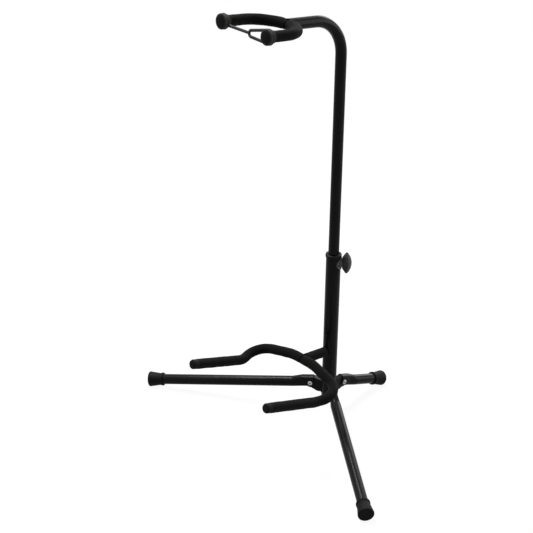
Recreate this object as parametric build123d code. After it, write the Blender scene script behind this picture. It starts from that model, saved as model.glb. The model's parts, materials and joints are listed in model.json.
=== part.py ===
from build123d import *
from math import asin, atan2, cos, degrees, hypot, radians, sin, tan
import os

# Folding tubular guitar stand: a telescopic post with a clamp, a padded yoke for the neck,
# a padded cradle for the body, and three legs that fold down on riveted brackets.
# Millimetres. +Z is up, the front is -Y, left is -X. Pieces are built about the post's axis and
# moved at the end, so that the origin lies on the floor under the middle of the outline.

# Clearances
press_gap = 0.02  # radial, in pressed and snug seats
run_gap = 0.06  # radial, between pieces that slide or turn in each other
side_gap = 0.15  # between flat faces that pass each other
foam_gap = 0.3  # from foam to a neighbouring piece

# Post
lower_tube_d = 22.0
lower_tube_wall = 1.2
lower_tube_base_z = 28.0
lower_tube_top_z = 263.8
plug_head_h = 3.0
plug_head_round = 1.5
plug_stem_h = 14.0
plug_wall = 1.8
bush_sleeve_h = 40.0
bush_lip_d = 23.8
bush_lip_h = 4.3
bush_lip_round = 1.4

# Mast
upper_tube_d = 16.0
upper_tube_wall = 1.2
upper_tube_base_z = 100.0
mast_corner_z = 621.5  # where the upright axis would meet the neck's axis
mast_bend_r = 57.0
guide_h = 24.0
guide_floor_h = 3.0

# Yoke
yoke_reach = 101.2  # post axis to the back of the yoke's rod
yoke_tilt = 7.0  # degrees, rising to the front
yoke_half_w = 43.1
yoke_rod_d = 8.0
yoke_foam_d = 15.0
yoke_length = 79.9  # back of the rod to the front of the caps
cap_head_d = 21.0
cap_head_h = 4.6
cap_dome_h = 1.4
cap_head_round = 0.7
cap_groove_d = 13.2
cap_groove_h = 3.6
cap_sleeve_d = 16.9
cap_sleeve_h = 4.2
cap_floor_h = 2.0  # between the rod's end and the cap's front
cap_socket_floor_h = 1.4  # between the groove and the foam's end

# Strap between the yoke's caps
strap_thick = 3.0
strap_strand_w = 3.8
strap_loop_x = 9.6  # middle of the loop's narrow end
strap_loop_r = 5.9
strap_drop = 3.3  # from the caps' axes to the strap
strap_round = 0.8

# Clamp on the side of the post
clamp_drop = 10.4  # below the post's top
clamp_bearing = 45.0  # degrees, from the right toward the rear
screw_d = 6.0
pad_d = 7.0
pad_h = 1.6
clamp_travel = 1.5  # how far the screw backs out
nut_d = 14.0
nut_h = 3.2
nut_thread_h = 2.7
nut_round = 0.8
knob_gap = 0.4  # from the knob to the nut
knob_skirt_h = 1.6  # how far the knob's skirt reaches back over the nut
knob_skirt_wall = 1.2
knob_cone_h = 3.4
knob_d = 30.5
knob_rim_h = 2.6
knob_dome_h = 6.2
knob_round = 0.8
knob_floor_h = 4.0
knob_flutes = 16
knob_flute_d = 3.6
knob_flute_depth = 0.9

# Cradle
stem_z = 106.0  # where the stem's axis meets the post's axis
stem_rod_d = 8.0
cradle_rod_d = 9.0
cradle_foam_d = 15.0
cradle_reach = 56.5  # post axis to the middle of the cradle's rod
cradle_z = 111.2
bow_half_w = 22.0  # level stretch at the top of the bow
elbow_half_w = 91.5  # corners at the foot of the bow
elbow_reach = 65.5
elbow_z = 98.5
prong_half_w = 79.0
prong_root_reach = 105.5
prong_root_z = 94.5
prong_tip_reach = 205.0
prong_tip_z = 125.3
bow_bend_r = 88.0
elbow_bend_r = 26.5
prong_bend_r = 32.0
tip_cap_d = 14.4
tip_cap_h = 10.0
tip_cap_round = 3.0
tip_socket_h = 6.0

# Legs
leg_tube_d = 16.0
leg_tube_wall = 1.2
leg_hub_z = 50.4  # where the legs' axes meet the post's axis
front_leg_reach = 289.2  # post axis to the end of the foot, along the leg
rear_leg_reach = 124.7
front_bearing = -90.0  # degrees, counted from the right toward the rear
front_leg_spread = 55.9  # degrees from the front to each front leg
pivot_reach = 28.0
clevis_top = 10.0  # above and below the leg's axis
clevis_bottom = 6.5
clevis_wall = 1.4
clevis_round = 2.6
clevis_nose = 5.5  # pivot to the leg's inner end
clevis_nose_round = 4.5
clevis_slot = 17.0  # pivot to the end of the slot below
clevis_length = 13.0  # pivot to the start of the round tube's taper
clevis_taper = 16.0

# Brackets and rivets
bracket_w = 8.0
bracket_sheet = 1.8
bracket_knee = 7.4  # pivot to where the top starts to fall to the post
bracket_post_top = -1.0  # at the post, from the leg's axis
bracket_post_bottom = -17.0
bracket_lobe = (-9.0, -15.0)  # lower corner, from the pivot along and across the leg
bracket_lobe_round = 9.0
rivet_d = 4.6
rivet_bore_d = 2.6
rivet_head_d = 7.2
rivet_head_h = 1.3
rivet_head_round = 0.7

# Feet
foot_d = 23.4
foot_neck_d = 19.0
foot_collar_d = 20.4
foot_collar_h = 3.2
foot_collar_round = 0.5
foot_flare_start = 3.0  # collar to where the neck starts to widen
foot_flare_r = 7.0
foot_socket_h = 17.6
foot_floor_h = 6.0  # rubber beyond the tube's end
foot_ring = 2.2  # end of the foot to its widest ring
foot_end_round = 1.6
foot_flat = 0.5  # depth of the flat worn into the widest ring

# Sizes that follow
lower_bore_r = lower_tube_d / 2 - lower_tube_wall
upper_r = upper_tube_d / 2
upper_bore_r = upper_r - upper_tube_wall
tilt = radians(yoke_tilt)
forward = Vector(0, -cos(tilt), sin(tilt))
yoke_back = Vector(0, -yoke_reach, mast_corner_z + yoke_reach * tan(tilt))
yoke_plane = Plane(origin=yoke_back, x_dir=(1, 0, 0), z_dir=(0, sin(tilt), cos(tilt)))
cap_h = cap_head_h + cap_groove_h + cap_sleeve_h
clamp_z = lower_tube_top_z - clamp_drop
clamp_out = Vector(cos(radians(clamp_bearing)), sin(radians(clamp_bearing)), 0)
clamp_at = Plane(origin=(0, 0, clamp_z), x_dir=(0, 0, 1), z_dir=clamp_out)
pad_hole_r = pad_d / 2 + side_gap
pad_face = upper_r + side_gap
screw_tip = pad_face + pad_h + side_gap
nut_face = lower_tube_d / 2 + nut_h
knob_face = nut_face + knob_gap
knob_h = knob_cone_h + knob_rim_h + knob_dome_h
clevis_inner_w = bracket_w + 2 * side_gap
clevis_w = clevis_inner_w + 2 * clevis_wall
stop_h = clevis_top - clevis_wall - side_gap  # bracket top, which carries the leg's top wall


def ring(outer_r, inner_r, height):
    return Cylinder(outer_r, height, align=(Align.CENTER, Align.CENTER, Align.MIN)) - Cylinder(
        inner_r, height, align=(Align.CENTER, Align.CENTER, Align.MIN)
    )


def rod(radius, height):
    return Cylinder(radius, height, align=(Align.CENTER, Align.CENTER, Align.MIN))


def spun(*outline):
    # Solid turned about Z from points of radius and height.
    return revolve(Plane.XZ * make_face(Polyline(*outline, close=True)), Axis.Z)


def rims(part, radius, height):
    # Circular edges of one radius at one height.
    edges = part.edges().filter_by(GeomType.CIRCLE)
    return [e for e in edges if abs(e.radius - radius) < 1e-3 and abs(e.center().Z - height) < 1e-3]


def swept(path, outer_r, inner_r=0.0):
    section = Circle(outer_r) - Circle(inner_r) if inner_r else Circle(outer_r)
    return sweep(Plane(origin=path @ 0, z_dir=path % 0) * section, path=path)


def mirrored(part):
    return mirror(part, about=Plane.YZ)


# Post


def make_lower_tube():
    height = lower_tube_top_z - lower_tube_base_z
    tube = Pos(0, 0, lower_tube_base_z) * ring(lower_tube_d / 2, lower_bore_r, height)
    return tube - clamp_at * rod(pad_hole_r, lower_tube_d)


def make_tube_plug():
    stem_r = lower_bore_r - press_gap
    plug = spun(
        (0, -plug_head_h),
        (lower_tube_d / 2, -plug_head_h),
        (lower_tube_d / 2, 0),
        (stem_r, 0),
        (stem_r, plug_stem_h),
        (stem_r - plug_wall, plug_stem_h),
        (stem_r - plug_wall, 0),
        (0, 0),
    )
    plug = fillet(rims(plug, lower_tube_d / 2, -plug_head_h), plug_head_round)
    return Pos(0, 0, lower_tube_base_z) * plug


def make_collar_bush():
    inner_r = upper_r + run_gap
    sleeve_r = lower_bore_r - press_gap
    bush = spun(
        (inner_r, -bush_sleeve_h),
        (sleeve_r, -bush_sleeve_h),
        (sleeve_r, 0),
        (bush_lip_d / 2, 0),
        (bush_lip_d / 2, bush_lip_h),
        (inner_r, bush_lip_h),
    )
    bush = fillet(rims(bush, bush_lip_d / 2, bush_lip_h), bush_lip_round)
    return Pos(0, 0, lower_tube_top_z) * bush - clamp_at * rod(pad_hole_r, lower_tube_d)


# Clamp


def make_clamp_nut():
    nut = rod(nut_d / 2, nut_face)
    nut = fillet(rims(nut, nut_d / 2, nut_face), nut_round)
    nut -= rod(screw_d / 2 + run_gap, nut_face)
    nut -= rod(pad_hole_r, nut_face - nut_thread_h)
    post = Pos(0, 0, lower_tube_base_z) * rod(lower_tube_d / 2, lower_tube_top_z)
    return clamp_at * nut - post


def make_clamp_pad():
    pad = Pos(0, 0, pad_face) * rod(pad_d / 2, pad_h)
    return clamp_at * chamfer(rims(pad, pad_d / 2, pad_face), side_gap * 2)


def make_clamp_screw():
    height = knob_face + knob_h - knob_floor_h - screw_tip
    return clamp_at * (Pos(0, 0, screw_tip) * rod(screw_d / 2, height))


def make_clamp_knob():
    # A cone toward the post with a skirt round the nut, a fluted rim and a domed outer face.
    knob_r = knob_d / 2
    skirt_r = nut_d / 2 + knob_gap
    rim_z = knob_cone_h + knob_rim_h
    dome_r = (knob_r**2 + knob_dome_h**2) / (2 * knob_dome_h)
    half_r = knob_r / 2
    half_z = knob_h - dome_r + (dome_r**2 - half_r**2) ** 0.5
    outline = ThreePointArc((knob_r, rim_z), (half_r, half_z), (0, knob_h)) + Polyline(
        (0, knob_h),
        (0, 0),
        (skirt_r, 0),
        (skirt_r, -knob_skirt_h),
        (skirt_r + knob_skirt_wall, -knob_skirt_h),
        (knob_r, knob_cone_h),
        (knob_r, rim_z),
    )
    knob = revolve(Plane.XZ * make_face(outline), Axis.Z)
    knob = fillet(rims(knob, knob_r, knob_cone_h) + rims(knob, knob_r, rim_z), knob_round)
    flute_r = knob_flute_d / 2
    for place in PolarLocations(knob_r + flute_r - knob_flute_depth, knob_flutes):
        knob -= place * rod(flute_r, knob_h)
    knob -= rod(screw_d / 2 + press_gap, knob_h - knob_floor_h)
    return clamp_at * (Pos(0, 0, knob_face) * knob)


# Mast


def make_mast_guide():
    outer_r = lower_bore_r - run_gap
    socket_r = upper_r + run_gap
    cup = rod(outer_r, guide_floor_h + guide_h)
    cup -= Pos(0, 0, guide_floor_h) * rod(socket_r, guide_h)
    cup -= rod(upper_bore_r, guide_floor_h)
    return Pos(0, 0, upper_tube_base_z - guide_floor_h - side_gap) * cup


def make_upper_tube():
    path = FilletPolyline((0, 0, upper_tube_base_z), (0, 0, mast_corner_z), yoke_back, radius=mast_bend_r)
    tube = swept(path, upper_r, upper_bore_r)
    saddle = Cylinder(yoke_rod_d / 2 + press_gap, 2 * upper_tube_d, rotation=(0, 90, 0))
    return tube - Pos(yoke_back) * saddle


# Yoke: local points run across and behind the rod's back


def yoke_point(x, y):
    return yoke_plane.from_local_coords((x, y, 0))


def yoke_half_path(length):
    diagonal = yoke_half_w * sin(radians(45))
    bow = ThreePointArc(
        yoke_point(0, 0), yoke_point(-diagonal, diagonal - yoke_half_w), yoke_point(-yoke_half_w, -yoke_half_w)
    )
    arm = Line(yoke_point(-yoke_half_w, -yoke_half_w), yoke_point(-yoke_half_w, -length))
    return Wire([bow, arm])


def make_yoke_rod():
    half = swept(yoke_half_path(yoke_length - cap_floor_h), yoke_rod_d / 2)
    return half + mirrored(half)


def make_yoke_foam():
    length = yoke_length - cap_head_h - cap_groove_h - cap_socket_floor_h - side_gap
    foam = swept(yoke_half_path(length), yoke_foam_d / 2, yoke_rod_d / 2 + press_gap)
    neck = Plane(origin=yoke_back, z_dir=-forward) * rod(upper_r + foam_gap, yoke_reach)
    return foam - neck


def cap_plane(x):
    return Plane(origin=yoke_point(x, -yoke_length), x_dir=(1, 0, 0), z_dir=forward)


def make_yoke_cap():
    head_r = cap_head_d / 2
    groove_z = -cap_head_h - cap_groove_h
    dome = ThreePointArc((0, 0), (head_r * 0.6, -cap_dome_h * 0.36), (head_r, -cap_dome_h))
    outline = dome + Polyline(
        (head_r, -cap_dome_h),
        (head_r, -cap_head_h),
        (cap_groove_d / 2, -cap_head_h),
        (cap_groove_d / 2, groove_z),
        (cap_sleeve_d / 2, groove_z),
        (cap_sleeve_d / 2, -cap_h),
        (0, -cap_h),
        (0, 0),
    )
    cap = revolve(Plane.XZ * make_face(outline), Axis.Z)
    cap = fillet(rims(cap, head_r, -cap_dome_h) + rims(cap, head_r, -cap_head_h), cap_head_round)
    foam_depth = cap_sleeve_h - cap_socket_floor_h
    cap -= Pos(0, 0, -cap_h) * rod(yoke_foam_d / 2 + press_gap, foam_depth)
    cap -= Pos(0, 0, -cap_h) * rod(yoke_rod_d / 2 + press_gap, cap_h - cap_floor_h)
    return cap_plane(-yoke_half_w) * cap


def make_yoke_strap():
    # A ring held in the left cap's groove, a thin strap, and a loop hooked in the right cap's groove.
    seat_r = cap_groove_d / 2 + press_gap
    ring_r = seat_r + strap_strand_w
    loop_at = Pos(strap_loop_x, -strap_drop)
    hook_at = Pos(yoke_half_w, 0)
    loop = make_hull((hook_at * Circle(ring_r)).edges() + (loop_at * Circle(strap_loop_r)).edges())
    eye = make_hull(
        (hook_at * Circle(seat_r)).edges() + (loop_at * Circle(strap_loop_r - strap_strand_w)).edges()
    )
    start = seat_r - yoke_half_w
    end = strap_loop_x - strap_loop_r + strap_strand_w
    band = Pos((start + end) / 2, -strap_drop) * Rectangle(end - start, strap_strand_w)
    hole = Pos(-yoke_half_w, 0) * Circle(seat_r)
    flat = Pos(-yoke_half_w, 0) * Circle(ring_r) + band + (loop - eye) - hole
    strap = extrude(flat, amount=strap_thick / 2, both=True)
    edges = strap.faces().sort_by(Axis.Z)[0].outer_wire().edges()
    edges += strap.faces().sort_by(Axis.Z)[-1].outer_wire().edges()
    strap = fillet(edges, strap_round)
    return cap_plane(0) * (Pos(0, 0, -cap_head_h - cap_groove_h / 2) * strap)


# Cradle


def cradle_half_points(end_gap):
    # From the middle of the bow to the left prong's end, cut short by the end gap.
    root = Vector(-prong_half_w, -prong_root_reach, prong_root_z)
    tip = Vector(-prong_half_w, -prong_tip_reach, prong_tip_z)
    return [
        Vector(0, -cradle_reach, cradle_z),
        Vector(-bow_half_w, -cradle_reach, cradle_z),
        Vector(-elbow_half_w, -elbow_reach, elbow_z),
        root,
        tip - (tip - root).normalized() * end_gap,
    ]


def cradle_half_path(end_gap):
    return FilletPolyline(*cradle_half_points(end_gap), radius=[bow_bend_r, elbow_bend_r, prong_bend_r])


def stem_plane(post_end):
    # Local Z runs along the stem, from the cradle to the post or back.
    front = Vector(0, -cradle_reach, cradle_z)
    rear = Vector(0, 0, stem_z)
    origin, toward = (rear, front) if post_end else (front, rear)
    return Plane(origin=origin, x_dir=(1, 0, 0), z_dir=toward - origin)


stem_length = hypot(cradle_reach, cradle_z - stem_z)


def make_cradle_rod():
    half = swept(cradle_half_path(tip_cap_h - tip_socket_h + side_gap), cradle_rod_d / 2)
    return half + mirrored(half)


def make_cradle_foam():
    foam = swept(cradle_half_path(tip_cap_h + side_gap), cradle_foam_d / 2, cradle_rod_d / 2 + press_gap)
    return foam - stem_plane(False) * rod(stem_rod_d / 2 + press_gap, stem_length)


def post_core():
    return Pos(0, 0, lower_tube_base_z) * rod(lower_tube_d / 2, lower_tube_top_z - lower_tube_base_z)


def make_cradle_stem():
    stem = stem_plane(True) * rod(stem_rod_d / 2, stem_length)
    cross = Cylinder(cradle_rod_d / 2, cradle_foam_d * 2, rotation=(0, 90, 0))
    return stem - post_core() - Pos(0, -cradle_reach, cradle_z) * cross


def make_stem_foam():
    foam = stem_plane(True) * ring(cradle_foam_d / 2, stem_rod_d / 2 + press_gap, stem_length)
    post = Pos(0, 0, lower_tube_base_z) * rod(lower_tube_d / 2 + foam_gap, lower_tube_top_z - lower_tube_base_z)
    cross = Cylinder(cradle_foam_d / 2 + foam_gap, cradle_foam_d * 2, rotation=(0, 90, 0))
    return foam - post - Pos(0, -cradle_reach, cradle_z) * cross


def make_cradle_tip():
    points = cradle_half_points(0.0)
    root, tip = points[-2], points[-1]
    cap = rod(tip_cap_d / 2, tip_cap_h)
    cap = fillet(rims(cap, tip_cap_d / 2, tip_cap_h), tip_cap_round)
    cap -= rod(cradle_rod_d / 2 + press_gap, tip_socket_h)
    along = (tip - root).normalized()
    return Plane(origin=tip - along * tip_cap_h, z_dir=along) * cap


# Legs: built along +X from the pivot, then turned down by the slope and out to the leg's bearing


def leg_slope(reach):
    # The slope at which the foot's widest ring stands on the floor, sunk by the depth of its flat.
    ring_at = reach - foot_ring
    foot_r = foot_d / 2
    return asin((leg_hub_z + foot_flat) / hypot(ring_at, foot_r)) - atan2(foot_r, ring_at)


def pivot_z(reach):
    return leg_hub_z - pivot_reach * tan(leg_slope(reach))


def leg_place(reach, bearing):
    turn = Rot(0, 0, bearing) * Pos(pivot_reach, 0, pivot_z(reach))
    return turn * Rot(0, degrees(leg_slope(reach)), 0)


def foot_end(reach):
    return reach - pivot_reach / cos(leg_slope(reach))


def clevis_section(inset, x):
    width = clevis_w - 2 * inset
    height = clevis_top + clevis_bottom - 2 * inset
    middle = (clevis_top - clevis_bottom) / 2
    corner_r = max(clevis_round - inset, run_gap)
    return Plane.YZ.offset(x) * (Pos(0, middle) * RectangleRounded(width, height, corner_r))


def leg_run(inset_clevis, inset_tube, end):
    # The taper from the clevis to the round tube, and the tube.
    taper_end = clevis_length + clevis_taper
    tube_r = leg_tube_d / 2 - inset_tube
    taper = loft([clevis_section(inset_clevis, clevis_length), Plane.YZ.offset(taper_end) * Circle(tube_r)])
    return taper + Plane.YZ.offset(taper_end) * rod(tube_r, end - taper_end)


def clevis_nose_block():
    corners = [
        (-clevis_nose, clevis_top),
        (clevis_length, clevis_top),
        (clevis_length, -clevis_bottom),
        (-clevis_nose, -clevis_bottom),
    ]
    side = make_face(Polyline(*corners, close=True))
    heel = [v for v in side.vertices() if v.X < 0 and v.Y < 0]
    side = fillet(heel, clevis_nose_round)
    block = extrude(Plane.XZ * side, amount=clevis_w, both=True)
    return block & extrude(clevis_section(0, -clevis_nose), amount=clevis_nose + clevis_length)


def make_leg(reach, bearing):
    end = foot_end(reach) - foot_floor_h
    leg = clevis_nose_block() + leg_run(0, 0, end)
    leg -= leg_run(clevis_wall + side_gap, leg_tube_wall, end)
    # Slot open below and at the inner end, so that the leg can fold over its bracket.
    slot_h = 2 * clevis_top
    slot = Box(
        clevis_top + clevis_slot, clevis_inner_w, slot_h, align=(Align.MIN, Align.CENTER, Align.MAX)
    )
    leg -= Pos(-clevis_top, 0, clevis_top - clevis_wall) * slot
    leg -= Cylinder(rivet_d / 2 + run_gap, 2 * clevis_w, rotation=(90, 0, 0))
    return leg_place(reach, bearing) * leg


def make_bracket(reach, bearing):
    inner = -pivot_reach
    lobe_x, lobe_z = bracket_lobe
    top = [(inner, bracket_post_top), (-bracket_knee, stop_h), (0, stop_h)]
    side = Polyline(
        *top, (0, -stop_h), (lobe_x, lobe_z), (inner, bracket_post_bottom), close=True
    )
    side = make_face(side)
    corner = [v for v in side.vertices() if abs(v.X - lobe_x) < 1e-6]
    side = fillet(corner, bracket_lobe_round) + Circle(stop_h)
    # The fold runs along the top as far as the pivot, and the cheeks stand free beyond it.
    fold = [(x, z - bracket_sheet) for x, z in top]
    below = 2 * abs(bracket_post_bottom)
    core = make_face(
        Polyline(*fold, (0, stop_h), (stop_h, stop_h), (stop_h, -below), (inner, -below), close=True)
    )
    bracket = extrude(Plane.XZ * side, amount=bracket_w / 2, both=True)
    bracket -= extrude(Plane.XZ * core, amount=bracket_w / 2 - bracket_sheet, both=True)
    bracket -= Cylinder(rivet_d / 2 + press_gap, 2 * bracket_w, rotation=(90, 0, 0))
    return leg_place(reach, bearing) * bracket - post_core()


def make_rivet(reach, bearing):
    head_z = clevis_w / 2 + side_gap
    shank = Pos(0, 0, -head_z) * rod(rivet_d / 2, 2 * head_z)
    head = Pos(0, 0, head_z) * rod(rivet_head_d / 2, rivet_head_h)
    head = fillet(rims(head, rivet_head_d / 2, head_z + rivet_head_h), rivet_head_round)
    rivet = shank + head + mirror(head, about=Plane.XY)
    rivet -= Cylinder(rivet_bore_d / 2, 2 * (head_z + rivet_head_h))
    return leg_place(reach, bearing) * (Rot(90, 0, 0) * rivet)


def make_foot(reach, bearing):
    collar_r = foot_collar_d / 2
    neck_r = foot_neck_d / 2
    foot_r = foot_d / 2
    start = -foot_floor_h - foot_socket_h
    neck_z = start + foot_collar_h
    flare = FilletPolyline(
        (neck_r, neck_z),
        (neck_r, neck_z + foot_flare_start),
        (foot_r, -foot_ring),
        (foot_r, 0),
        radius=foot_flare_r,
    )
    outline = flare + Polyline((foot_r, 0), (0, 0), (0, start), (collar_r, start), (collar_r, neck_z))
    outline += Line((collar_r, neck_z), (neck_r, neck_z))
    foot = revolve(Plane.XZ * make_face(outline), Axis.Z)
    foot = fillet(rims(foot, collar_r, start) + rims(foot, collar_r, neck_z), foot_collar_round)
    foot = fillet(rims(foot, foot_r, 0), foot_end_round)
    foot -= Pos(0, 0, start) * rod(leg_tube_d / 2 + press_gap, foot_socket_h)
    along = Pos(foot_end(reach), 0, 0) * Rot(0, 90, 0)
    foot = leg_place(reach, bearing) * along * foot
    floor = Box(4 * reach, 4 * reach, foot_d, align=(Align.CENTER, Align.CENTER, Align.MAX))
    return foot - floor


nodes = {
    "lower_tube": make_lower_tube(),
    "tube_plug": make_tube_plug(),
    "collar_bush": make_collar_bush(),
    "clamp_nut": make_clamp_nut(),
    "clamp_pad": make_clamp_pad(),
    "clamp_screw": make_clamp_screw(),
    "clamp_knob": make_clamp_knob(),
    "mast_guide": make_mast_guide(),
    "upper_tube": make_upper_tube(),
    "yoke_rod": make_yoke_rod(),
    "yoke_foam_left": make_yoke_foam(),
    "yoke_cap_left": make_yoke_cap(),
    "yoke_strap": make_yoke_strap(),
    "cradle_rod": make_cradle_rod(),
    "cradle_stem": make_cradle_stem(),
    "stem_foam": make_stem_foam(),
    "cradle_foam_left": make_cradle_foam(),
    "cradle_tip_left": make_cradle_tip(),
}
for name in ("yoke_foam", "yoke_cap", "cradle_foam", "cradle_tip"):
    nodes[name + "_right"] = mirrored(nodes[name + "_left"])

legs = {
    "left": (front_leg_reach, front_bearing - front_leg_spread),
    "right": (front_leg_reach, front_bearing + front_leg_spread),
    "rear": (rear_leg_reach, -front_bearing),
}
for side, (reach, bearing) in legs.items():
    nodes["leg_" + side] = make_leg(reach, bearing)
    nodes["bracket_" + side] = make_bracket(reach, bearing)
    nodes["rivet_" + side] = make_rivet(reach, bearing)
    nodes["foot_" + side] = make_foot(reach, bearing)

front_y = nodes["cradle_tip_left"].bounding_box().min.Y
rear_y = nodes["foot_rear"].bounding_box().max.Y
post_y = -(front_y + rear_y) / 2

os.makedirs("parts", exist_ok=True)
for name, solid in nodes.items():
    export_step(Pos(0, post_y, 0) * solid, "parts/" + name + ".step")

print("post axis at y", round(post_y, 3))
for side, (reach, bearing) in legs.items():
    slope = degrees(leg_slope(reach))
    print("leg", side, "pivot height", round(pivot_z(reach), 3), "slope", round(slope, 3), "bearing", bearing)
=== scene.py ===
import json
import math

import bmesh
import bpy
from mathutils import Matrix, Vector


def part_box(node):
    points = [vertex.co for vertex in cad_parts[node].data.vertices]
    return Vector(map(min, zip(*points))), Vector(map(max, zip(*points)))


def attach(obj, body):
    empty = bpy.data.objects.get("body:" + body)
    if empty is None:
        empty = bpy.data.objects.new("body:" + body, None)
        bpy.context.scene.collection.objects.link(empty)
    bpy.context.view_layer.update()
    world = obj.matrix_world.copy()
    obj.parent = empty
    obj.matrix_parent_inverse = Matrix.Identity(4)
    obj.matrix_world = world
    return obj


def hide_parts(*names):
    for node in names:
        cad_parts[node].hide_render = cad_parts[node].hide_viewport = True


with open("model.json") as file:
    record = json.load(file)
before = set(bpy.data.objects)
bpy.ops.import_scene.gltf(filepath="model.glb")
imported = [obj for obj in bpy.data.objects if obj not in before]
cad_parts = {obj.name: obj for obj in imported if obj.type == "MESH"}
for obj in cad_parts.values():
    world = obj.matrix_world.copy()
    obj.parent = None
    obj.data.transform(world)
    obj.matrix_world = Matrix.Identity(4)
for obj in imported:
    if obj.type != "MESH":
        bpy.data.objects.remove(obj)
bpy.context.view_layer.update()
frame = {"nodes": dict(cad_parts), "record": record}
nodes = frame["nodes"]
postLow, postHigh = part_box("lower_tube")
postY = (postLow[1] + postHigh[1]) / 2  # the post's axis in the shared frame
scene = bpy.context.scene
print("frame loaded:", len(nodes), "nodes, post axis at y", round(postY, 4))


# tools for node trees


def addNode(tree, kind, inputs=None, **values):
    # each input takes a value, or the output that feeds it
    node = tree.nodes.new(kind)
    for label, value in values.items():
        setattr(node, label, value)
    for key, value in (inputs or {}).items():
        if isinstance(value, bpy.types.NodeSocket):
            tree.links.new(value, node.inputs[key])
        else:
            node.inputs[key].default_value = value
    return node


def addMath(tree, operation, first, second):
    return addNode(tree, "ShaderNodeMath", {0: first, 1: second}, operation=operation).outputs[0]


def addVectorMath(tree, operation, *inputs):
    numbered = dict(enumerate(inputs))
    return addNode(tree, "ShaderNodeVectorMath", numbered, operation=operation).outputs


def addRange(tree, value, start=(0.0, 1.0), end=(0.0, 1.0)):
    # carries the range start over to the range end, and stops at its limits
    limits = {"From Min": start[0], "From Max": start[1], "To Min": end[0], "To Max": end[1]}
    return addNode(tree, "ShaderNodeMapRange", {"Value": value, **limits}).outputs["Result"]


def mixColour(tree, share, base, over, blend="MIX"):
    # a mix node takes its colours at sockets 6 and 7, and gives the mixed one at 2
    sockets = {0: share, 6: base, 7: over}
    mix = addNode(tree, "ShaderNodeMix", sockets, data_type="RGBA", blend_type=blend)
    return mix.outputs[2]


def mixShaders(tree, share, under, over):
    sockets = {0: share, 1: under.outputs[0], 2: over.outputs[0]}
    return addNode(tree, "ShaderNodeMixShader", sockets).outputs[0]


def objectPlace(tree):
    return addNode(tree, "ShaderNodeTexCoord").outputs["Object"]


# camera, floor and light

cameraSet = {
    "stand": (1.3357, postY - 1.3690, 1.2160),
    "bearing": 47.22,
    "pitch": 26.94,
    "roll": 0.80,
    "lens": 98.84,
    "sensor": 36.0,
    "farEnd": 50.0,
}


def addCamera():
    data = bpy.data.cameras.new("photoCamera")
    data.lens = cameraSet["lens"]
    data.sensor_width = cameraSet["sensor"]
    data.clip_end = cameraSet["farEnd"]
    camera = bpy.data.objects.new("photoCamera", data)
    scene.collection.objects.link(camera)
    turn = Matrix.Rotation(math.radians(cameraSet["bearing"]), 4, "Z")
    turn = turn @ Matrix.Rotation(math.radians(90 - cameraSet["pitch"]), 4, "X")
    turn = turn @ Matrix.Rotation(math.radians(cameraSet["roll"]), 4, "Z")
    camera.matrix_world = Matrix.Translation(cameraSet["stand"]) @ turn
    scene.camera = camera


stageSet = {
    "floorHalf": 9.0,
    "floorColour": (0.90, 0.90, 0.90, 1),
    "bounceColour": (0.45, 0.45, 0.45, 1),  # what the floor throws back on the object
    "white": (1, 1, 1, 1),
    "whiteShare": 0.92,  # how much of it the lens sees on the floor; the rest keeps the shadow
    "whiteReach": (0.6, 1.8),  # metres from the object over which the share grows to 1
    "roomColour": (0.96, 0.97, 1.0, 1),
    "ambient": 0.15,
}

lampSet = {
    # name: place from the post, what it points at, width, height, watts, turn about its own beam
    "topStrip": ((-0.88, -0.14, 2.11), (-0.13, -0.09, 0.03), 0.5, 1.6, 80.0, -60),
    "sideWall": ((1.47, 1.63, 1.00), (0.0, 0.0, 0.30), 2.2, 1.8, 44.0, 0),
    "backWall": ((-0.78, 1.92, 0.85), (0.1, -0.1, 0.05), 1.0, 1.3, 20.0, 0),
    "leftSpot": ((-1.65, -0.17, 1.50), (0.15, -0.1, 0.03), 0.35, 0.35, 4.0, 0),
}


def seenRays(tree):
    # 1 for rays that should meet plain white: lens, gloss and glass
    path = addNode(tree, "ShaderNodeLightPath").outputs
    direct = addMath(tree, "MAXIMUM", path["Is Camera Ray"], path["Is Glossy Ray"])
    return addMath(tree, "MAXIMUM", direct, path["Is Transmission Ray"])


def makePaper():
    paper = bpy.data.materials.new("floorPaper")
    paper.use_nodes = True
    tree = paper.node_tree
    tree.nodes.clear()
    seen = seenRays(tree)
    tint = mixColour(tree, seen, stageSet["bounceColour"], stageSet["floorColour"])
    matte = addNode(tree, "ShaderNodeBsdfDiffuse", {"Color": tint})
    glow = addNode(tree, "ShaderNodeEmission", {"Color": stageSet["white"]})
    away = addVectorMath(tree, "LENGTH", objectPlace(tree))["Value"]
    fade = addRange(tree, away, stageSet["whiteReach"], (stageSet["whiteShare"], 1.0))
    share = addMath(tree, "MULTIPLY", seen, fade)
    surface = mixShaders(tree, share, matte, glow)
    addNode(tree, "ShaderNodeOutputMaterial", {"Surface": surface})
    return paper


def addFloor():
    bm = bmesh.new()
    bmesh.ops.create_grid(bm, x_segments=1, y_segments=1, size=stageSet["floorHalf"])
    mesh = bpy.data.meshes.new("floor")
    bm.to_mesh(mesh)
    bm.free()
    floor = bpy.data.objects.new("floor", mesh)
    scene.collection.objects.link(floor)
    mesh.materials.append(makePaper())


def addRoom():
    world = bpy.data.worlds.new("studio")
    scene.world = world
    world.use_nodes = True
    tree = world.node_tree
    room = tree.nodes["Background"]
    room.inputs["Color"].default_value = stageSet["roomColour"]
    room.inputs["Strength"].default_value = stageSet["ambient"]
    white = addNode(tree, "ShaderNodeBackground", {"Color": stageSet["white"]})
    surface = mixShaders(tree, seenRays(tree), room, white)
    tree.links.new(surface, tree.nodes["World Output"].inputs["Surface"])


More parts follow.
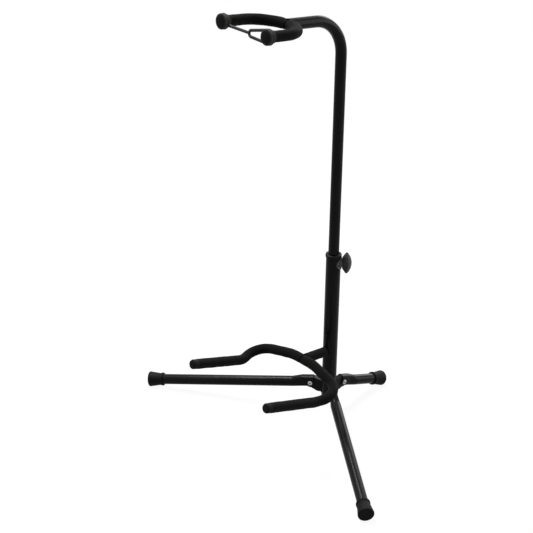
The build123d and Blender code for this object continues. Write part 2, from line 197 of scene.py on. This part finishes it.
def addLamps():
    post = Vector((0, postY, 0))
    for name, (place, aim, width, height, watts, turn) in lampSet.items():
        data = bpy.data.lights.new(name, "AREA")
        data.shape = "RECTANGLE"
        data.size = width
        data.size_y = height
        data.energy = watts
        lamp = bpy.data.objects.new(name, data)
        scene.collection.objects.link(lamp)
        stand = post + Vector(place)
        beam = post + Vector(aim) - stand
        facing = beam.to_track_quat("-Z", "Y").to_matrix().to_4x4()
        roll = Matrix.Rotation(math.radians(turn), 4, "Z")
        lamp.matrix_world = Matrix.Translation(stand) @ facing @ roll


addCamera()
addFloor()
addRoom()
addLamps()
scene.view_settings.view_transform = "Standard"
print("camera, floor and lamps set")


# shared surface effects

grainSet = {
    # label: cells to the metre until a finish sets its own, and how much detail
    "Fine": (900.0, 3.0),
    "Broad": (30.0, 4.0),
    "Chips": (260.0, 6.0),
}

dustSet = {
    "amount": 0.1,  # until a finish sets its own
    "upward": (0.35, 1.0),  # upright part of a face's normal, from no dust to all of it
    "scale": 160.0,
    "detail": 5.0,
    "colour": (0.16, 0.155, 0.15, 1),
}

rimInputs = {"Centre": (0.0, 0.0, 0.0), "Axis": (0.0, 0.0, 0.0), "Inner": 0.0, "Outer": 0.0}


def openGroup(name, inputs, outputs):
    # a node group, what it is given and what it results in
    group = bpy.data.node_groups.new(name, "ShaderNodeTree")
    for label, start in inputs.items():
        kind = "NodeSocketFloat" if isinstance(start, float) else "NodeSocketVector"
        socket = group.interface.new_socket(label, in_out="INPUT", socket_type=kind)
        socket.default_value = start
    for label in outputs:
        group.interface.new_socket(label, in_out="OUTPUT", socket_type="NodeSocketFloat")
    given = addNode(group, "NodeGroupInput").outputs
    result = addNode(group, "NodeGroupOutput").inputs
    return group, given, result


def buildGrain():
    # fine, broad and chip-sized unevenness, each 0 to 1
    scales = {label + " Scale": scale for label, (scale, detail) in grainSet.items()}
    group, given, result = openGroup("surfaceGrain", scales, grainSet)
    place = objectPlace(group)
    for label, (scale, detail) in grainSet.items():
        inputs = {"Vector": place, "Scale": given[label + " Scale"], "Detail": detail}
        noise = addNode(group, "ShaderNodeTexNoise", inputs)
        group.links.new(noise.outputs["Fac"], result[label])
    return group


def buildDust():
    # a mask of settled dust: upward faces, broken up by noise
    group, given, result = openGroup("settledDust", {"Amount": dustSet["amount"]}, ["Mask"])
    normal = addNode(group, "ShaderNodeNewGeometry").outputs["Normal"]
    upright = addNode(group, "ShaderNodeSeparateXYZ", {0: normal}).outputs["Z"]
    upward = addRange(group, upright, dustSet["upward"])
    inputs = {"Vector": objectPlace(group), "Scale": dustSet["scale"], "Detail": dustSet["detail"]}
    noise = addNode(group, "ShaderNodeTexNoise", inputs).outputs["Fac"]
    broken = addMath(group, "MULTIPLY", upward, noise)
    mask = addMath(group, "MULTIPLY", broken, given["Amount"])
    group.links.new(mask, result["Mask"])
    return group


def buildRim():
    # a mask that grows from 0 to 1 between two distances from a turned piece's axis
    group, given, result = openGroup("rubbedRim", rimInputs, ["Mask"])
    offset = addVectorMath(group, "SUBTRACT", objectPlace(group), given["Centre"])["Vector"]
    across = addVectorMath(group, "CROSS_PRODUCT", offset, given["Axis"])["Vector"]
    away = addVectorMath(group, "LENGTH", across)["Value"]
    mask = addRange(group, away, (given["Inner"], given["Outer"]))
    group.links.new(mask, result["Mask"])
    return group


grainGroup = buildGrain()
dustGroup = buildDust()
rimGroup = buildRim()

finishSet = {
    "enamel": {
        "dark": (0.0045, 0.0043, 0.0045, 1),
        "light": (0.0095, 0.0091, 0.0093, 1),
        "rough": (0.17, 0.28),
        "fine": 700.0,
        "broad": 26.0,
        "bump": 0.05,
        "specular": 0.05,
        "dust": 0.03,
    },
    # black paint rubbed bare in patches; the pale grey patches and the lighter tone also serve as a
    # painted highlight on the nut and its weld
    "wornEnamelAndHighlight": {
        "dark": (0.0060, 0.0058, 0.0060, 1),
        "light": (0.0130, 0.0126, 0.0128, 1),
        "rough": (0.34, 0.50),
        "fine": 900.0,
        "broad": 40.0,
        "bump": 0.12,
        "specular": 0.10,
        "dust": 0.05,
        "bareAndHighlight": (0.24, 0.228, 0.224, 1),
        "bareAndHighlightSpan": (0.34, 0.56),  # of the chip-sized noise, from painted to bare; these pale patches are rubbed paint and painted highlight in one
    },
    "plastic": {
        "dark": (0.0030, 0.0030, 0.0031, 1),
        "light": (0.0062, 0.0062, 0.0063, 1),
        "rough": (0.42, 0.58),
        "fine": 1500.0,
        "broad": 40.0,
        "bump": 0.10,
        "specular": 0.08,
        "dust": 0.05,
    },
    "knobPlastic": {
        "dark": (0.0170, 0.0168, 0.0165, 1),
        "light": (0.0320, 0.0316, 0.0310, 1),
        "rough": (0.46, 0.62),
        "fine": 1700.0,
        "broad": 60.0,
        "bump": 0.14,
        "specular": 0.10,
        "dust": 0.06,
    },
    "strapRubber": {
        "dark": (0.0190, 0.0186, 0.0180, 1),
        "light": (0.0420, 0.0410, 0.0400, 1),
        "rough": (0.55, 0.72),
        "fine": 1300.0,
        "broad": 90.0,
        "bump": 0.14,
        "specular": 0.12,
        "dust": 0.08,
    },
    "rubber": {
        "dark": (0.0030, 0.0030, 0.0030, 1),
        "light": (0.0070, 0.0068, 0.0066, 1),
        "rough": (0.55, 0.75),
        "fine": 1100.0,
        "broad": 50.0,
        "bump": 0.14,
        "specular": 0.05,
        "dust": 0.04,
        "rubbed": (0.075, 0.073, 0.070, 1),
    },
    "steel": {
        "dark": (0.22, 0.22, 0.23, 1),
        "light": (0.42, 0.42, 0.43, 1),
        "rough": (0.26, 0.44),
        "fine": 1300.0,
        "broad": 120.0,
        "bump": 0.06,
        "metallic": 1.0,
        "specular": 0.5,
        "dust": 0.04,
    },
}

foamLook = {
    "wall": (0.0058, 0.0056, 0.0053, 1),
    # painted shade: the pits between the foam's cells, which the bump sinks, are coloured darker
    "pitShade": (0.0016, 0.0016, 0.0015, 1),
    "cell": 1250.0,  # cells to the metre
    "fine": 420.0,
    "broad": 45.0,
    "patch": 0.5,  # how strongly the broad unevenness shades the colour
    "shade": (0.55, 1.35),
    "bump": 0.45,
    "rough": (0.80, 0.95),
    "specular": 0.04,
    "sheen": 0.015,
    "sheenRough": 0.6,
}

noiseSpan = (0.3, 0.7)  # most of a noise's values lie between these
bumpDepth = {"finish": 0.0004, "foam": 0.0005}


def newMaterial(name, constants):
    material = bpy.data.materials.new(name)
    material.use_nodes = True
    shader = material.node_tree.nodes["Principled BSDF"]
    for label, value in constants.items():
        shader.inputs[label].default_value = value
    return material, material.node_tree, shader.inputs


def addGrain(tree, look):
    scales = {"Fine Scale": look["fine"], "Broad Scale": look["broad"]}
    return addNode(tree, "ShaderNodeGroup", scales, node_tree=grainGroup).outputs


def feedShader(tree, shader, colour, rough, height, strength, depth):
    inputs = {"Height": height, "Strength": strength, "Distance": depth}
    bump = addNode(tree, "ShaderNodeBump", inputs)
    tree.links.new(colour, shader["Base Color"])
    tree.links.new(rough, shader["Roughness"])
    tree.links.new(bump.outputs["Normal"], shader["Normal"])


def makeFinish(name, rim=None):
    # rim: a turned piece's centre, axis, and the distances between which its edge is rubbed pale
    look = finishSet[name]
    constants = {"Metallic": look.get("metallic", 0.0), "Specular IOR Level": look["specular"]}
    material, tree, shader = newMaterial(name, constants)
    grain = addGrain(tree, look)
    tone = mixColour(tree, grain["Broad"], look["dark"], look["light"])
    dust = addNode(tree, "ShaderNodeGroup", {"Amount": look["dust"]}, node_tree=dustGroup)
    shown = mixColour(tree, dust.outputs["Mask"], tone, dustSet["colour"])
    if rim:
        edge = addNode(tree, "ShaderNodeGroup", dict(zip(rimInputs, rim)), node_tree=rimGroup)
        patchy = addMath(tree, "MULTIPLY", edge.outputs["Mask"], grain["Fine"])
        shown = mixColour(tree, patchy, shown, look["rubbed"])
    # pale patches: paint rubbed bare, and a painted highlight on the nut
    if "bareAndHighlight" in look:
        bareAndHighlightChips = addRange(tree, grain["Chips"], look["bareAndHighlightSpan"])
        shown = mixColour(tree, bareAndHighlightChips, shown, look["bareAndHighlight"])
    rough = addRange(tree, grain["Broad"], noiseSpan, look["rough"])
    feedShader(tree, shader, shown, rough, grain["Fine"], look["bump"], bumpDepth["finish"])
    return material


def makeFoam():
    constants = {
        "Specular IOR Level": foamLook["specular"],
        "Sheen Weight": foamLook["sheen"],
        "Sheen Roughness": foamLook["sheenRough"],
    }
    material, tree, shader = newMaterial("foam", constants)
    inputs = {"Vector": objectPlace(tree), "Scale": foamLook["cell"]}
    cells = addNode(tree, "ShaderNodeTexVoronoi", inputs, feature="F1").outputs["Distance"]
    grain = addGrain(tree, foamLook)
    # painted shade: darker where the cells' borders sink
    tone = mixColour(tree, cells, foamLook["wall"], foamLook["pitShade"])
    shade = addRange(tree, grain["Broad"], end=foamLook["shade"])
    shown = mixColour(tree, foamLook["patch"], tone, shade, "MULTIPLY")
    rough = addRange(tree, grain["Fine"], end=foamLook["rough"])
    height = addMath(tree, "SUBTRACT", grain["Fine"], cells)
    feedShader(tree, shader, shown, rough, height, foamLook["bump"], bumpDepth["foam"])
    return material


finishes = {name: makeFinish(name) for name in finishSet}
finishes["foam"] = makeFoam()

finishOfSlot = {
    "black_paint": "enamel",
    "black_plastic": "plastic",
    "black_rubber": "rubber",
    "black_foam": "foam",
    "bright_steel": "steel",
}
ownFinish = {"clamp_knob": "knobPlastic", "clamp_nut": "wornEnamelAndHighlight"}


def dressNodes():
    for part in frame["record"]["subparts"]:
        shown = nodes[part["node"]]
        finish = ownFinish.get(part["node"], finishOfSlot[part["material_slot"]])
        shown.data.materials.clear()
        shown.data.materials.append(finishes[finish])


dressNodes()
print("finishes on", len(nodes), "nodes")


# tools for pieces: a ring of points drawn along runs and bends

mergeGap = 0.00002  # points nearer than this become one
sideName = {-1: "Left", 1: "Right"}
zAxis = Vector((0, 0, 1))


def addPiece(bm, name, finish, body):
    bmesh.ops.remove_doubles(bm, verts=bm.verts[:], dist=mergeGap)
    bmesh.ops.recalc_face_normals(bm, faces=bm.faces[:])
    mesh = bpy.data.meshes.new(name)
    bm.to_mesh(mesh)
    bm.free()
    mesh.shade_smooth()
    piece = bpy.data.objects.new(name, mesh)
    scene.collection.objects.link(piece)
    mesh.materials.append(finishes[finish])
    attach(piece, body)
    return piece


def addRing(bm, radius, sides, place, capped=False):
    # a circle's edges, in the order in which they were made
    ring = bmesh.ops.create_circle(bm, cap_ends=capped, radius=radius, segments=sides, matrix=place)
    fresh = set(ring["verts"])
    return [e for e in bm.edges if e.verts[0] in fresh]


def extrudeRun(bm, rim, run, count):
    for step in range(count):
        grown = bmesh.ops.extrude_edge_only(bm, edges=rim)["geom"]
        verts = [g for g in grown if isinstance(g, bmesh.types.BMVert)]
        bmesh.ops.translate(bm, verts=verts, vec=run / count)
        rim = [g for g in grown if isinstance(g, bmesh.types.BMEdge)]
    return rim


def spinRun(bm, rim, centre, axis, angle, count):
    spun = bmesh.ops.spin(bm, geom=rim, cent=centre, axis=axis, angle=angle, steps=count)
    return [g for g in spun["geom_last"] if isinstance(g, bmesh.types.BMEdge)]


def spinFull(bm, rim, centre, count):
    full = 2 * math.pi
    bmesh.ops.spin(bm, geom=rim, cent=centre, axis=zAxis, angle=full, steps=count, use_merge=True)


def cornerMoves(points, radii):
    # runs and bends of a route whose corners are rounded
    moves = []
    start = points[0]
    for before, corner, after, radius in zip(points, points[1:], points[2:], radii):
        inward = (corner - before).normalized()
        outward = (after - corner).normalized()
        angle = inward.angle(outward)
        reach = radius * math.tan(angle / 2)
        entry = corner - inward * reach
        axis = inward.cross(outward).normalized()
        moves.append(("run", entry - start))
        moves.append(("bend", entry + axis.cross(inward) * radius, axis, angle, radius))
        start = corner + outward * reach
    moves.append(("run", points[-1] - start))
    return moves


# foam sleeves

sleeveSet = {
    "step": 0.0012,  # between rings of points
    "bendLeast": 4,  # rings in the shortest bend
    "sides": 48,
    "rim": 0.0010,  # rounding of a cut end
    "seamRim": 0.0004,  # rounding where two sleeves meet
    "rimSteps": 4,
    "endFacing": 0.8,  # skin that faces the seam more than this stays uncreased
    "lumpDetail": 2,
    "fill": 0.95,
}


def drawSleeve(start, heading, radius, moves, step=sleeveSet["step"], sides=sleeveSet["sides"]):
    # a tube that is closed at both ends, and the edges of its two rims
    bm = bmesh.new()
    facing = heading.to_track_quat("Z", "Y").to_matrix().to_4x4()
    firstRim = addRing(bm, radius, sides, Matrix.Translation(start) @ facing, capped=True)
    rim = firstRim
    for kind, *move in moves:
        if kind == "run":
            run = move[0]
            rim = extrudeRun(bm, rim, run, max(1, round(run.length / step)))
        else:
            centre, axis, angle, bend = move
            count = max(sleeveSet["bendLeast"], round(angle * bend / step))
            rim = spinRun(bm, rim, centre, axis, angle, count)
    bmesh.ops.holes_fill(bm, edges=rim, sides=0)
    return bm, firstRim, rim


def softenRims(bm, rim, width):
    bmesh.ops.bevel(
        bm,
        geom=rim,
        offset=width,
        segments=sleeveSet["rimSteps"],
        profile=0.5,
        affect="EDGES",
        material=-1,
        clamp_overlap=True,
    )


def addLumps(piece, size, strength):
    # foam never lies quite even on its rod
    lumps = bpy.data.textures.new(piece.name + "Lumps", "CLOUDS")
    lumps.noise_scale = size
    lumps.noise_depth = sleeveSet["lumpDetail"]
    shift = piece.modifiers.new("lumps", "DISPLACE")
    shift.texture = lumps
    shift.texture_coords = "LOCAL"
    shift.strength = strength
    shift.mid_level = 0.5


def creaseSeam(bm, crease):
    # two sleeves crowd together where they meet on the middle line: their skin swells and creases
    bm.normal_update()
    for v in bm.verts:
        away = abs(v.co.x)
        if away > crease["reach"] or abs(v.normal.x) > sleeveSet["endFacing"]:
            continue
        fade = (1 - away / crease["reach"]) ** 2
        lap = math.atan2(v.normal.z, v.normal.y)
        wander = crease["twist"] * math.sin(2 * lap + crease["phase"])
        fold = math.sin(2 * math.pi * away / crease["wave"] + wander)
        v.co += v.normal * fade * (crease["swell"] + crease["depth"] * fold)


def finishFoam(bm, seam, end, name, body, node, lump):
    softenRims(bm, seam, sleeveSet["seamRim"])
    softenRims(bm, end, sleeveSet["rim"])
    piece = addPiece(bm, name, "foam", body)
    addLumps(piece, *lump)
    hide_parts(node)


yokeSet = {
    "reach": 0.1012,  # post axis to the back of the rod
    "cornerZ": 0.6215,
    "tilt": 7.0,
    "halfWidth": 0.0431,
    "foamRadius": 0.0075,
    "foamLength": 0.07015,  # back of the rod to the foam's end, inside the cap
    "seam": 0.0003,
    "lump": (0.011, 0.0007),  # size and height of the foam's lumps
    "crease": {
        "reach": 0.017,
        "wave": 0.0062,
        "depth": 0.00045,
        "swell": 0.0011,
        "twist": 1.7,
        "phase": 0.6,
    },
    "capRim": (0.0074, 0.0104),  # distances from a cap's axis over which its edge is rubbed
}
yokeTilt = math.radians(yokeSet["tilt"])
yokeForward = Vector((0, -math.cos(yokeTilt), math.sin(yokeTilt)))
yokeUp = Vector((0, math.sin(yokeTilt), math.cos(yokeTilt)))
yokeRise = yokeSet["reach"] * math.tan(yokeTilt)
yokeBack = Vector((0, postY - yokeSet["reach"], yokeSet["cornerZ"] + yokeRise))


def addYokeFoam(side):
    half = yokeSet["halfWidth"]
    heading = Vector((side, 0, 0))
    start = yokeBack + heading * yokeSet["seam"]
    centre = yokeBack + yokeForward * half
    moves = [
        ("bend", centre, yokeUp * -side, math.radians(90) - yokeSet["seam"] / half, half),
        ("run", yokeForward * (yokeSet["foamLength"] - half)),
    ]
    bm, first, last = drawSleeve(start, heading, yokeSet["foamRadius"], moves)
    creaseSeam(bm, yokeSet["crease"])
    name = "yokeFoam" + sideName[side]
    node = "yoke_foam_" + sideName[side].lower()
    finishFoam(bm, first, last, name, "mast", node, yokeSet["lump"])


def rubCap(side):
    centre = yokeBack + Vector((side * yokeSet["halfWidth"], 0, 0))
    cap = nodes["yoke_cap_" + sideName[side].lower()]
    cap.data.materials[0] = makeFinish("rubber", (centre, yokeForward) + yokeSet["capRim"])


cradleSet = {
    "bow": (0.0220, 0.0565, 0.1112),  # half width, reach from the post, height
    "elbow": (0.0915, 0.0655, 0.0985),
    "root": (0.0790, 0.1055, 0.0945),
    "tip": (0.0790, 0.2050, 0.1253),
    "bends": (0.088, 0.0265, 0.032),
    "foamRadius": 0.0075,
    "capLength": 0.0101,
    "seam": 0.0003,
    "stemZ": 0.1060,
    "stemEnds": (0.0116, 0.0060),  # from the post's axis and from the bow's axis to the stem's foam
    "lump": (0.012, 0.0007),  # size and height of the foam's lumps
    "crease": {
        "reach": 0.013,
        "wave": 0.0070,
        "depth": 0.00035,
        "swell": 0.0004,
        "twist": 1.3,
        "phase": 2.1,
    },
}


def cradlePoint(key, side):
    half, reach, height = cradleSet[key]
    return Vector((side * half, postY - reach, height))


def addCradleFoam(side):
    heading = Vector((side, 0, 0))
    middle = cradlePoint("bow", 0) + heading * cradleSet["seam"]
    points = [middle] + [cradlePoint(key, side) for key in ("bow", "elbow", "root", "tip")]
    points[-1] = points[-1] - (points[-1] - points[-2]).normalized() * cradleSet["capLength"]
    moves = cornerMoves(points, cradleSet["bends"])
    bm, first, last = drawSleeve(middle, heading, cradleSet["foamRadius"], moves)
    creaseSeam(bm, cradleSet["crease"])
    name = "cradleFoam" + sideName[side]
    node = "cradle_foam_" + sideName[side].lower()
    finishFoam(bm, first, last, name, "base", node, cradleSet["lump"])


def addStemFoam():
    front = cradlePoint("bow", 0)
    rear = Vector((0, postY, cradleSet["stemZ"]))
    along = (front - rear).normalized()
    start = rear + along * cradleSet["stemEnds"][0]
    run = front - along * cradleSet["stemEnds"][1] - start
    bm, first, last = drawSleeve(start, along, cradleSet["foamRadius"], [("run", run)])
    finishFoam(bm, first, last, "stemFoam", "base", "stem_foam", cradleSet["lump"])


for side in sideName:
    addYokeFoam(side)
    addCradleFoam(side)
    rubCap(side)
addStemFoam()
print("foam sleeves drawn")


# rubber strap across the yoke's mouth: a ring on one cap, a band and a link hooked on the other

strapSet = {
    "back": 0.0735,  # from the yoke's back along the arms to the caps' grooves
    "seat": 0.00662,  # radius of the ring's and the hook's hole
    "strand": 0.0042,
    "thick": 0.0031,
    "loopX": 0.0108,  # middle line to the centre of the link's narrow end
    "loopRadius": 0.0063,
    "drop": 0.0033,  # of the band below the caps' axes
    "sides": 16,
    "hookSteps": 40,
    "strandSteps": 10,
    "loopSteps": 20,
    "ringSteps": 48,
    "bandSteps": 24,
    "closeGap": 0.00005,  # within which the link's two ends are joined
}


def addStrap():
    half = yokeSet["halfWidth"]
    radius = strapSet["strand"] / 2
    sides = strapSet["sides"]
    hookAt = Vector((half, 0, 0))
    loopAt = Vector((strapSet["loopX"], -strapSet["drop"], 0))
    hookR = strapSet["seat"] + radius
    loopR = strapSet["loopRadius"] - radius
    gap = loopAt - hookAt
    lean = math.atan2(gap.y, gap.x)
    spread = math.acos((hookR - loopR) / gap.length)
    flat = strapSet["thick"] / strapSet["strand"]
    turn = Matrix.Rotation(math.radians(90), 4, "X") @ Matrix.Diagonal((1, flat, 1, 1))

    # the link: round the hook, along one strand, round the narrow end and back
    bm = bmesh.new()
    first = Vector((math.cos(lean + spread), math.sin(lean + spread), 0))
    second = Vector((math.cos(lean - spread), math.sin(lean - spread), 0))
    outRun = loopAt + second * loopR - (hookAt + second * hookR)
    backRun = hookAt + first * hookR - (loopAt + first * loopR)
    lie = Matrix.Rotation(lean + spread, 4, "Z") @ turn
    rim = addRing(bm, radius, sides, Matrix.Translation(hookAt + first * hookR) @ lie)
    rim = spinRun(bm, rim, hookAt, zAxis, 2 * math.pi - 2 * spread, strapSet["hookSteps"])
    rim = extrudeRun(bm, rim, outRun, strapSet["strandSteps"])
    rim = spinRun(bm, rim, loopAt, zAxis, 2 * spread, strapSet["loopSteps"])
    extrudeRun(bm, rim, backRun, strapSet["strandSteps"])
    bmesh.ops.remove_doubles(bm, verts=bm.verts[:], dist=strapSet["closeGap"])

    # the ring in the other cap's groove
    rim = addRing(bm, radius, sides, Matrix.Translation((hookR - half, 0, 0)) @ turn)
    spinFull(bm, rim, Vector((-half, 0, 0)), strapSet["ringSteps"])

    # the band between them
    start = Vector((hookR - half, -strapSet["drop"], 0))
    end = loopAt - Vector((loopR, 0, 0))
    lie = Matrix.Rotation(math.radians(90), 4, "Y") @ Matrix.Diagonal((flat, 1, 1, 1))
    rim = addRing(bm, radius, sides, Matrix.Translation(start) @ lie, capped=True)
    rim = extrudeRun(bm, rim, end - start, strapSet["bandSteps"])
    bmesh.ops.holes_fill(bm, edges=rim, sides=0)

    origin = yokeBack + yokeForward * strapSet["back"]
    facing = Matrix((Vector((1, 0, 0)), yokeUp, yokeForward)).transposed().to_4x4()
    place = Matrix.Translation(origin) @ facing
    bmesh.ops.transform(bm, matrix=place, verts=bm.verts[:])
    piece = addPiece(bm, "yokeStrap", "strapRubber", "mast")
    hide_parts("yoke_strap")


addStrap()
print("strap made")


# weld beads on the post: round the clamp's nut, and down both sides of each bracket

weldSet = {
    "radius": 0.0013,
    "ripple": 0.16,
    "pitch": 0.0017,  # one ripple to the next
    "step": 0.0004,  # between rings of points
    "sides": 16,
    "endRound": 0.7,  # share of the bead's radius
    "postRadius": 0.0110,
    "root": 0.0104,  # the nearest that a bead comes to the post's axis, inside the post's wall
    "nutRadius": 0.0078,
    "nutBead": (0.0022, 0.0013),  # half width and height
    "nutRipple": 0.06,
    "nutSteps": 144,
    "nutZ": 0.2534,
    "nutBearing": 45.0,
    "bracketHalf": 0.0044,
    "brackets": {
        # bearing, lowest and highest point of the bead
        "Left": (-145.9, 0.0322, 0.0474),
        "Right": (-34.1, 0.0322, 0.0474),
        "Rear": (90.0, 0.0302, 0.0452),
    },
}


def clearBore(bm, first, second):
    # no bead sinks through the post's wall; the two axes are those across the post
    for v in bm.verts:
        away = math.hypot(v.co[first], v.co[second])
        if away < weldSet["root"]:
            v.co[first] *= weldSet["root"] / away
            v.co[second] *= weldSet["root"] / away


def addNutWeld():
    major = weldSet["nutRadius"]
    wide, high = weldSet["nutBead"]
    bm = bmesh.new()
    lie = Matrix.Rotation(math.radians(90), 4, "X") @ Matrix.Diagonal((1, high / wide, 1, 1))
    rim = addRing(bm, wide, weldSet["sides"], Matrix.Translation((major, 0, 0)) @ lie)
    spinFull(bm, rim, Vector((0, 0, 0)), weldSet["nutSteps"])
    count = round(2 * math.pi * major / weldSet["pitch"])
    for v in bm.verts:
        lap = math.atan2(v.co.y, v.co.x)
        core = Vector((math.cos(lap), math.sin(lap), 0)) * major
        v.co = core + (v.co - core) * (1 + weldSet["nutRipple"] * math.sin(count * lap))
        v.co.z += math.sqrt(weldSet["postRadius"] ** 2 - v.co.x**2)  # laid on the round of the post
    clearBore(bm, 0, 2)
    bearing = math.radians(weldSet["nutBearing"])
    outward = Vector((math.cos(bearing), math.sin(bearing), 0))
    sideways = Vector((-math.sin(bearing), math.cos(bearing), 0))
    facing = Matrix((sideways, outward.cross(sideways), outward)).transposed().to_4x4()
    place = Matrix.Translation((0, postY, weldSet["nutZ"])) @ facing
    bmesh.ops.transform(bm, matrix=place, verts=bm.verts[:])
    addPiece(bm, "nutWeld", "wornEnamelAndHighlight", "base")


def addBracketWelds(name):
    bearing, low, high = weldSet["brackets"][name]
    radius = weldSet["radius"]
    turn = Matrix.Translation((0, postY, 0)) @ Matrix.Rotation(math.radians(bearing), 4, "Z")
    reach = math.sqrt(weldSet["postRadius"] ** 2 - weldSet["bracketHalf"] ** 2)
    moves = [("run", zAxis * (high - low))]
    for side, label in ((-1, "A"), (1, "B")):
        start = Vector((reach, side * weldSet["bracketHalf"], low))
        bm, first, last = drawSleeve(start, zAxis, radius, moves, weldSet["step"], weldSet["sides"])
        softenRims(bm, first + last, radius * weldSet["endRound"])
        for v in bm.verts:
            swell = 1 + weldSet["ripple"] * math.sin(2 * math.pi * v.co.z / weldSet["pitch"])
            v.co.x = start.x + (v.co.x - start.x) * swell
            v.co.y = start.y + (v.co.y - start.y) * swell
        clearBore(bm, 0, 1)
        bmesh.ops.transform(bm, matrix=turn, verts=bm.verts[:])
        addPiece(bm, "bracketWeld" + name + label, "enamel", "base")


addNutWeld()
for name in weldSet["brackets"]:
    addBracketWelds(name)
print("weld beads laid")
